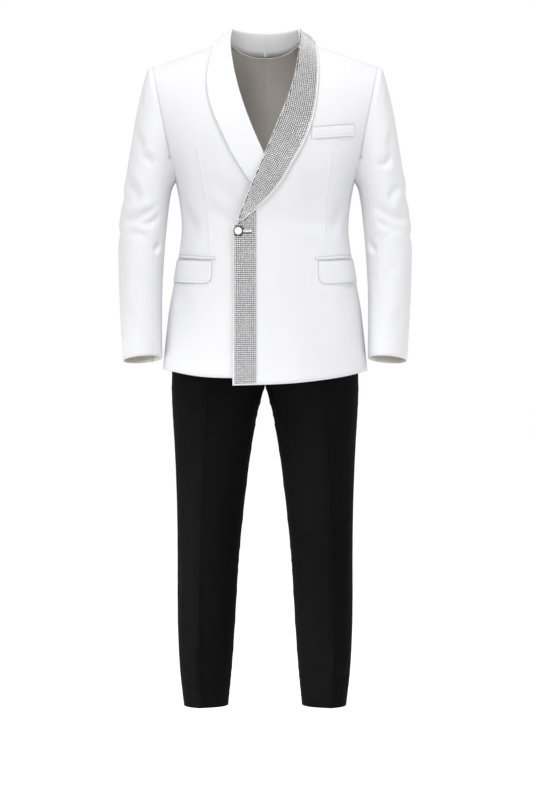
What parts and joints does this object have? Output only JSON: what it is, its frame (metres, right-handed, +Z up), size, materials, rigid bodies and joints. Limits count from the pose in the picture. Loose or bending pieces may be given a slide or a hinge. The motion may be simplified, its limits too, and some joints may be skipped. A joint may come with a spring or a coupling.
{
  "type": "tuxedo",
  "caption": "Wrap-front dinner jacket with a shawl collar, one lapel set with small stones, and straight pressed trousers, hollow as worn.",
  "frame": {"origin": "midway between the jacket's two neck points, where it lies on the wearer's shoulders", "axes": "+Z up, -Y the front, +X the wearer's left"},
  "size_m": [0.631, 0.2836, 1.4541],
  "materials": {
    "jacket_wool": "white fine twill wool, matt with a faint sheen",
    "jacket_satin": "white satin, soft sheen",
    "rhinestones": "close rows of small clear cut stones on silver foil, on white cloth",
    "trouser_wool": "black fine worsted wool, pressed",
    "button_metal": "dark polished metal",
    "button_pearl": "pearl"
  },
  "bodies": {
    "root": {"jacket_front_left": "jacket_wool", "jacket_front_right": "jacket_wool", "jacket_side_left": "jacket_wool", "jacket_side_right": "jacket_wool", "jacket_back_left": "jacket_wool", "jacket_back_right": "jacket_wool", "sleeve_top_left": "jacket_wool", "sleeve_top_right": "jacket_wool", "sleeve_under_left": "jacket_wool", "sleeve_under_right": "jacket_wool", "pocket_jet_left": "jacket_wool", "pocket_jet_right": "jacket_wool", "pocket_flap_left": "jacket_wool", "pocket_flap_right": "jacket_wool", "chest_pocket_welt": "jacket_wool", "lapel_left": "rhinestones", "front_band": "rhinestones", "lapel_right": "jacket_satin", "trouser_front_left": "trouser_wool", "trouser_front_right": "trouser_wool", "trouser_back_left": "trouser_wool", "trouser_back_right": "trouser_wool", "waistband_left": "trouser_wool", "waistband_right": "trouser_wool", "button_cup": "button_metal", "button_pearl": "button_pearl"}
  },
  "joints": []
}
